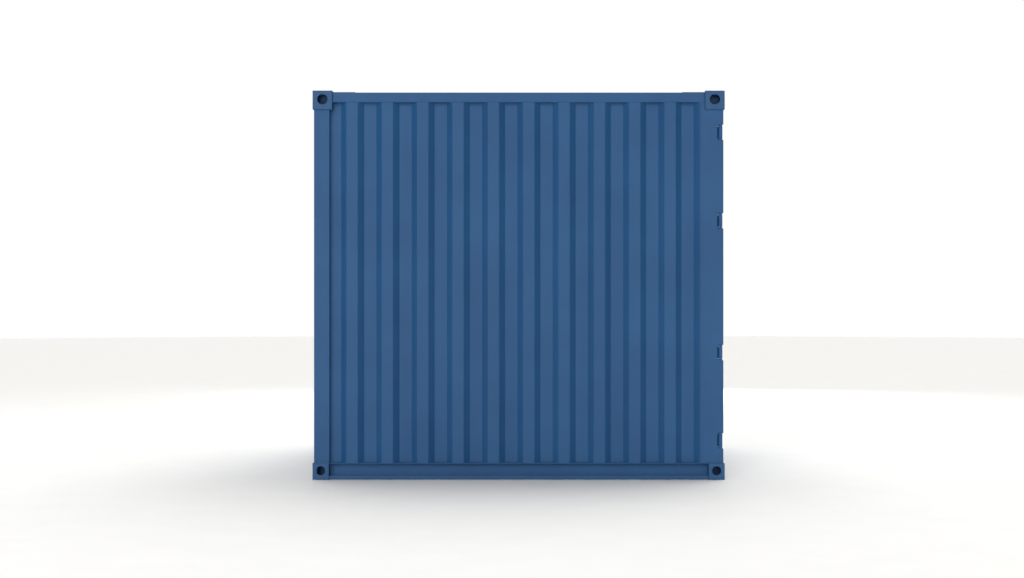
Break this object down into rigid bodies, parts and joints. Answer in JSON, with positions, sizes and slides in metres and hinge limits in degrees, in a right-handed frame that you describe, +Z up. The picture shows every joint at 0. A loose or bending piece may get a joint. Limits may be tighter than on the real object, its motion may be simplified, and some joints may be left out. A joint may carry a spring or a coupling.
{
  "type": "shipping container",
  "caption": "Short steel freight container with corrugated walls, cast corner fittings, a timber floor and a pair of outward-swinging doors at one end.",
  "frame": {"origin": "middle of the base, level with the feet of the lower corner castings", "axes": "+X along the length towards the doors, +Y across the width towards the right side as seen facing the doors, +Z up"},
  "size_m": [2.743, 2.438, 2.591],
  "materials": {
    "wall_paint": "satin blue container paint on corrugated steel sheet",
    "frame_paint": "satin blue container paint on pressed steel sections",
    "casting_paint": "satin blue container paint on cast steel",
    "galvanised_steel": "hot-dip galvanised steel",
    "door_seal_rubber": "black extruded rubber",
    "floor_plywood": "oiled hardwood plywood boards",
    "underseal": "black bitumen underseal"
  },
  "bodies": {
    "container": {"casting_low_blind_left": "casting_paint", "casting_low_blind_right": "casting_paint", "casting_low_door_left": "casting_paint", "casting_low_door_right": "casting_paint", "casting_top_blind_left": "casting_paint", "casting_top_blind_right": "casting_paint", "casting_top_door_left": "casting_paint", "casting_top_door_right": "casting_paint", "corner_post_blind_left": "frame_paint", "corner_post_door_left": "frame_paint", "top_rail_left": "frame_paint", "bottom_rail_left": "frame_paint", "side_wall_left": "wall_paint", "hinge_lugs_left": "frame_paint", "corner_post_blind_right": "frame_paint", "corner_post_door_right": "frame_paint", "top_rail_right": "frame_paint", "bottom_rail_right": "frame_paint", "side_wall_right": "wall_paint", "hinge_lugs_right": "frame_paint", "header_blind": "frame_paint", "sill_blind": "frame_paint", "header_door": "frame_paint", "sill_door": "frame_paint", "end_wall": "wall_paint", "roof_panel": "wall_paint", "roof_corner_plates": "frame_paint", "roof_header_plates": "frame_paint", "floor": "floor_plywood", "cross_members": "underseal", "cam_keepers": "galvanised_steel"},
    "door_left": {"door_frame_left": "frame_paint", "door_panel_left": "wall_paint", "door_gasket_left": "door_seal_rubber", "hinge_blades_left": "frame_paint", "lock_rods_left": "galvanised_steel", "rod_brackets_left": "galvanised_steel", "lock_handles_left": "galvanised_steel"},
    "door_right": {"door_frame_right": "frame_paint", "door_panel_right": "wall_paint", "door_gasket_right": "door_seal_rubber", "hinge_blades_right": "frame_paint", "lock_rods_right": "galvanised_steel", "rod_brackets_right": "galvanised_steel", "lock_handles_right": "galvanised_steel"}
  },
  "joints": [
    {"name": "door_hinge_left", "type": "hinge", "parent": "container", "child": "door_left", "pos_m": [1.3445, -1.201, 1.25], "axis": [0, 0, -1], "range_deg": [0, 270]},
    {"name": "door_hinge_right", "type": "hinge", "parent": "container", "child": "door_right", "pos_m": [1.3445, 1.201, 1.25], "axis": [0, 0, 1], "range_deg": [0, 270]}
  ]
}
